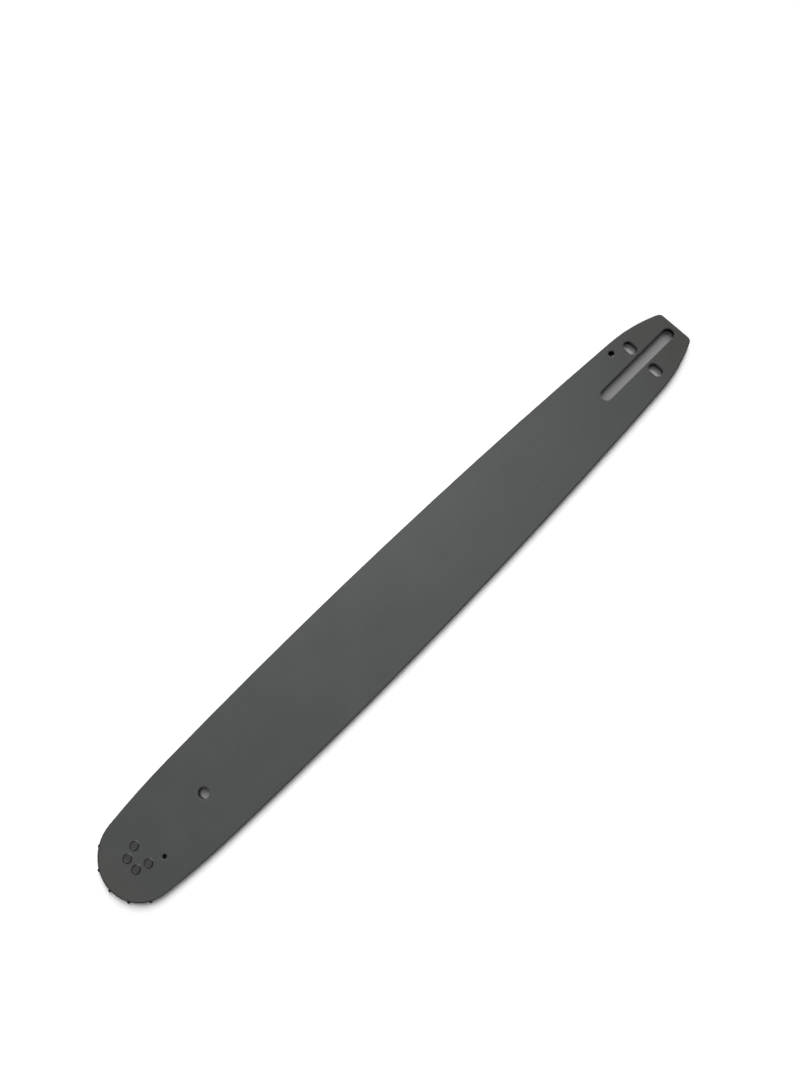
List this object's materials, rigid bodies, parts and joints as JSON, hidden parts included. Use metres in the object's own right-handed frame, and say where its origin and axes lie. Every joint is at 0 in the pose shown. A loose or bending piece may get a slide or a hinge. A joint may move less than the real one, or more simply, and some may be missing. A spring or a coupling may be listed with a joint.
{
  "type": "chainsaw guide bar",
  "caption": "Long flat laminated bar with a rounded sprocket nose, chain groove around its rim and a slotted tail with tensioner holes; guides a saw chain.",
  "frame": {"origin": "midway between the two chain tensioner holes, on the bar's long centre line, at the lower face", "axes": "+X along the bar to its nose, +Z out of the upper face (the one in the picture), +Y to the edge away from the upper face's oil hole"},
  "size_m": [0.535, 0.0692, 0.005],
  "materials": {
    "bar_coating": "dark grey satin coating on rolled steel",
    "rivet_coating": "same dark grey coating over peened heads",
    "core_steel": "oiled rolled steel",
    "wheel_steel": "blackened, oiled hardened steel",
    "bearing_steel": "ground bearing steel"
  },
  "bodies": {
    "bar": {"upper_side_plate": "bar_coating", "lower_side_plate": "bar_coating", "core_plate": "core_steel", "bearing_race": "bearing_steel", "nose_rivets": "rivet_coating"},
    "wheel": {"nose_sprocket": "wheel_steel"},
    "roller_ring": {"bearing_roller_01": "bearing_steel", "bearing_roller_02": "bearing_steel", "bearing_roller_03": "bearing_steel", "bearing_roller_04": "bearing_steel", "bearing_roller_05": "bearing_steel", "bearing_roller_06": "bearing_steel", "bearing_roller_07": "bearing_steel", "bearing_roller_08": "bearing_steel", "bearing_roller_09": "bearing_steel", "bearing_roller_10": "bearing_steel", "bearing_roller_11": "bearing_steel", "bearing_roller_12": "bearing_steel", "bearing_roller_13": "bearing_steel", "bearing_roller_14": "bearing_steel", "bearing_roller_15": "bearing_steel", "bearing_roller_16": "bearing_steel", "bearing_roller_17": "bearing_steel", "bearing_roller_18": "bearing_steel", "bearing_roller_19": "bearing_steel", "bearing_roller_20": "bearing_steel", "bearing_roller_21": "bearing_steel", "bearing_roller_22": "bearing_steel", "bearing_roller_23": "bearing_steel", "bearing_roller_24": "bearing_steel", "bearing_roller_25": "bearing_steel", "bearing_roller_26": "bearing_steel"}
  },
  "joints": [
    {"name": "wheel_spin", "type": "hinge", "parent": "bar", "child": "wheel", "pos_m": [0.4731, 0, 0.00235], "axis": [0, 0, 1], "continuous": true},
    {"name": "roller_orbit", "type": "hinge", "parent": "bar", "child": "roller_ring", "pos_m": [0.4731, 0, 0.00235], "axis": [0, 0, 1], "continuous": true}
  ],
  "couplings": [
    {"joint": "roller_orbit", "follows": "wheel_spin", "ratio": 0.558}
  ]
}
